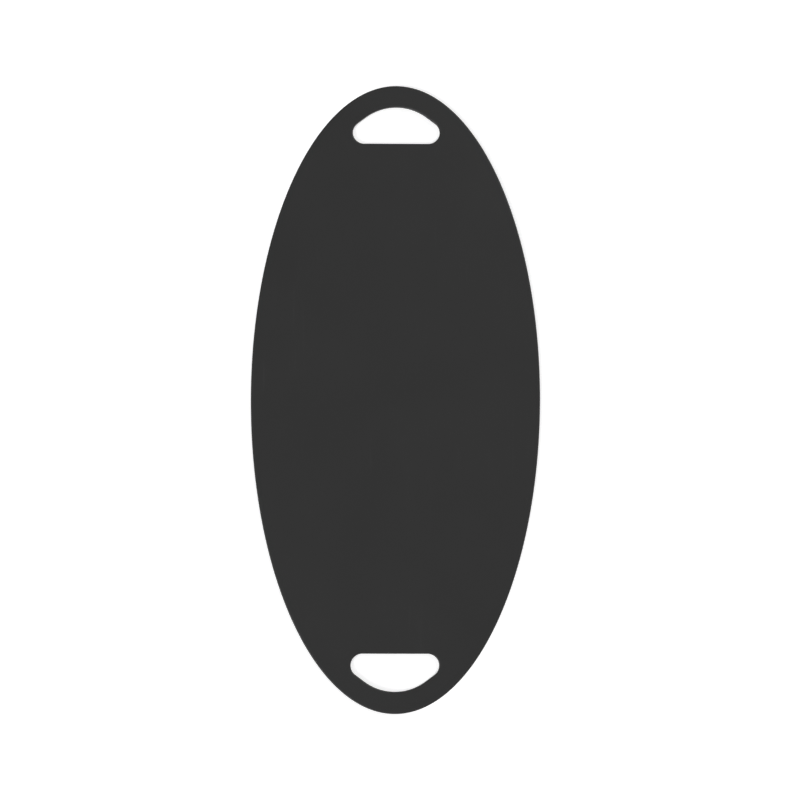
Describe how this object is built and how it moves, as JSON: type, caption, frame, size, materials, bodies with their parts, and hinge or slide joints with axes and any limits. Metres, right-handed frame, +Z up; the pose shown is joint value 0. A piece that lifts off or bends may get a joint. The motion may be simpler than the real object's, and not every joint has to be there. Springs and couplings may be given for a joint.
{
  "type": "oval transfer board",
  "caption": "Flat oval sliding board with a D-shaped hand slot near each end, rounded edges and ribbed rubber anti-slip strips let into its underside.",
  "frame": {"origin": "centre of the bounding box's bottom face, on the surface that the board lies on, where the strips' ribs touch it", "axes": "+X across the board, +Y along its length towards the slot that is uppermost in the picture, +Z up out of the sliding face"},
  "size_m": [0.331, 0.72, 0.0073],
  "materials": {
    "slippery_plastic": "charcoal, fine matt grain, smooth to the touch",
    "grip_rubber": "black, matt, ribbed"
  },
  "bodies": {
    "root": {"board_sheet": "slippery_plastic", "anti_slip_strip_1": "grip_rubber", "anti_slip_strip_2": "grip_rubber", "anti_slip_strip_3": "grip_rubber", "anti_slip_strip_4": "grip_rubber", "anti_slip_strip_5": "grip_rubber", "anti_slip_strip_6": "grip_rubber", "anti_slip_strip_7": "grip_rubber", "anti_slip_strip_8": "grip_rubber"}
  },
  "joints": []
}
